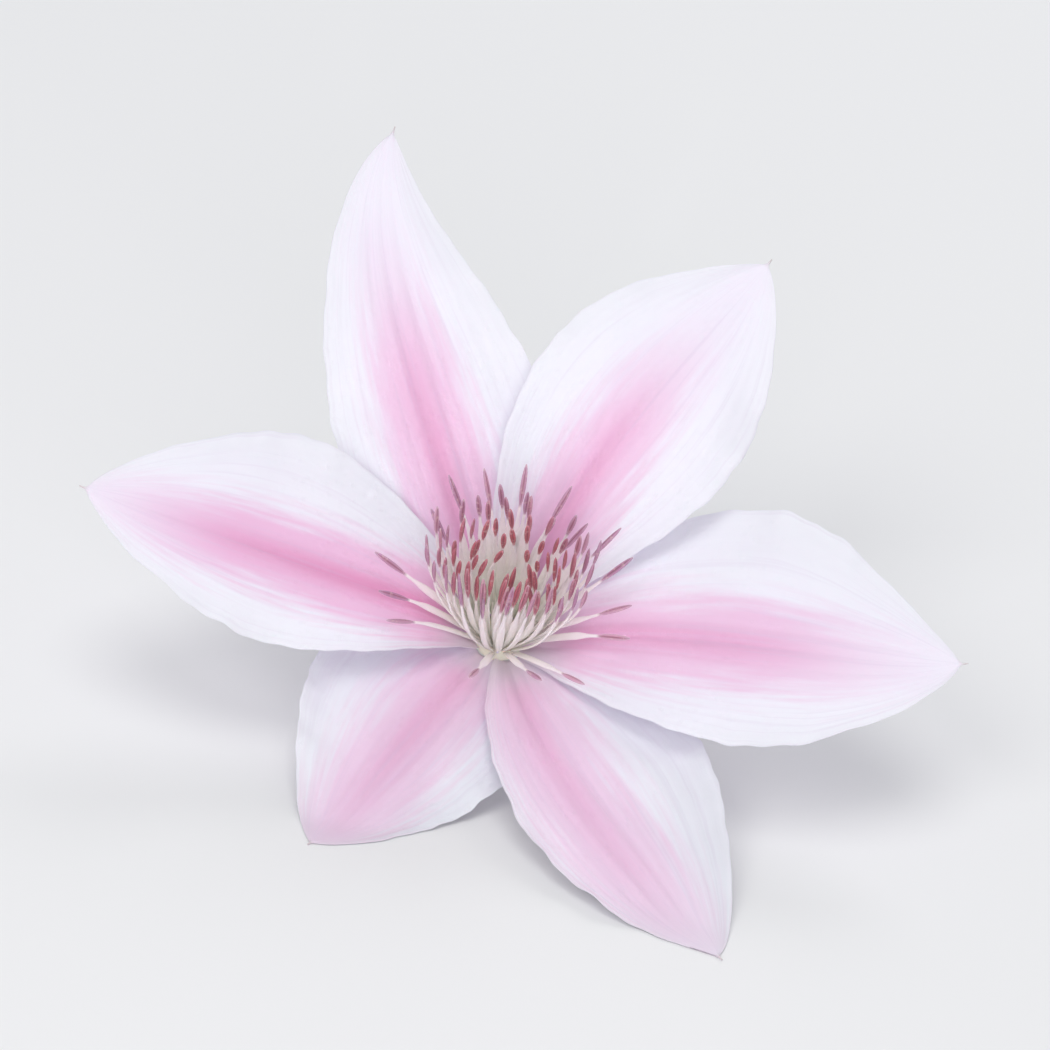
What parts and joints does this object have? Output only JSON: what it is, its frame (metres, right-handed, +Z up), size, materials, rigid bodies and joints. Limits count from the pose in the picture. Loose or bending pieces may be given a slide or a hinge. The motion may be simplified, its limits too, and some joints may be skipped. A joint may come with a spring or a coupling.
{
  "type": "clematis flower",
  "caption": "Large open clematis flower with pale pink-striped tepals, a boss of stamens and a bent cut stalk, lying on a surface.",
  "frame": {"origin": "middle of the bounding box's base, on the surface that the flower lies on", "axes": "+Z up from the surface; the face of the flower points towards -Y and up; +X towards the right-hand tepal"},
  "size_m": [0.1368, 0.1188, 0.0746],
  "materials": {
    "tepal": "satin",
    "stalk": "matte",
    "stamen": "matte",
    "pistil": "matte"
  },
  "bodies": {
    "root": {"stalk": "stalk", "tepal_top": "tepal", "tepal_upper_right": "tepal", "tepal_right": "tepal", "tepal_lower_right": "tepal", "tepal_lower_left": "tepal", "tepal_left": "tepal", "stamen_01": "stamen", "stamen_02": "stamen", "stamen_03": "stamen", "stamen_04": "stamen", "stamen_05": "stamen", "stamen_06": "stamen", "stamen_07": "stamen", "stamen_08": "stamen", "stamen_09": "stamen", "stamen_10": "stamen", "stamen_11": "stamen", "stamen_12": "stamen", "stamen_13": "stamen", "stamen_14": "stamen", "stamen_15": "stamen", "stamen_16": "stamen", "stamen_17": "stamen", "stamen_18": "stamen", "stamen_19": "stamen", "stamen_20": "stamen", "stamen_21": "stamen", "stamen_22": "stamen", "stamen_23": "stamen", "stamen_24": "stamen", "stamen_25": "stamen", "stamen_26": "stamen", "stamen_27": "stamen", "stamen_28": "stamen", "stamen_29": "stamen", "stamen_30": "stamen", "stamen_31": "stamen", "stamen_32": "stamen", "stamen_33": "stamen", "stamen_34": "stamen", "stamen_35": "stamen", "stamen_36": "stamen", "stamen_37": "stamen", "stamen_38": "stamen", "stamen_39": "stamen", "stamen_40": "stamen", "stamen_41": "stamen", "stamen_42": "stamen", "stamen_43": "stamen", "stamen_44": "stamen", "stamen_45": "stamen", "stamen_46": "stamen", "stamen_47": "stamen", "stamen_48": "stamen", "stamen_49": "stamen", "stamen_50": "stamen", "stamen_51": "stamen", "stamen_52": "stamen", "pistils": "pistil"}
  },
  "joints": []
}
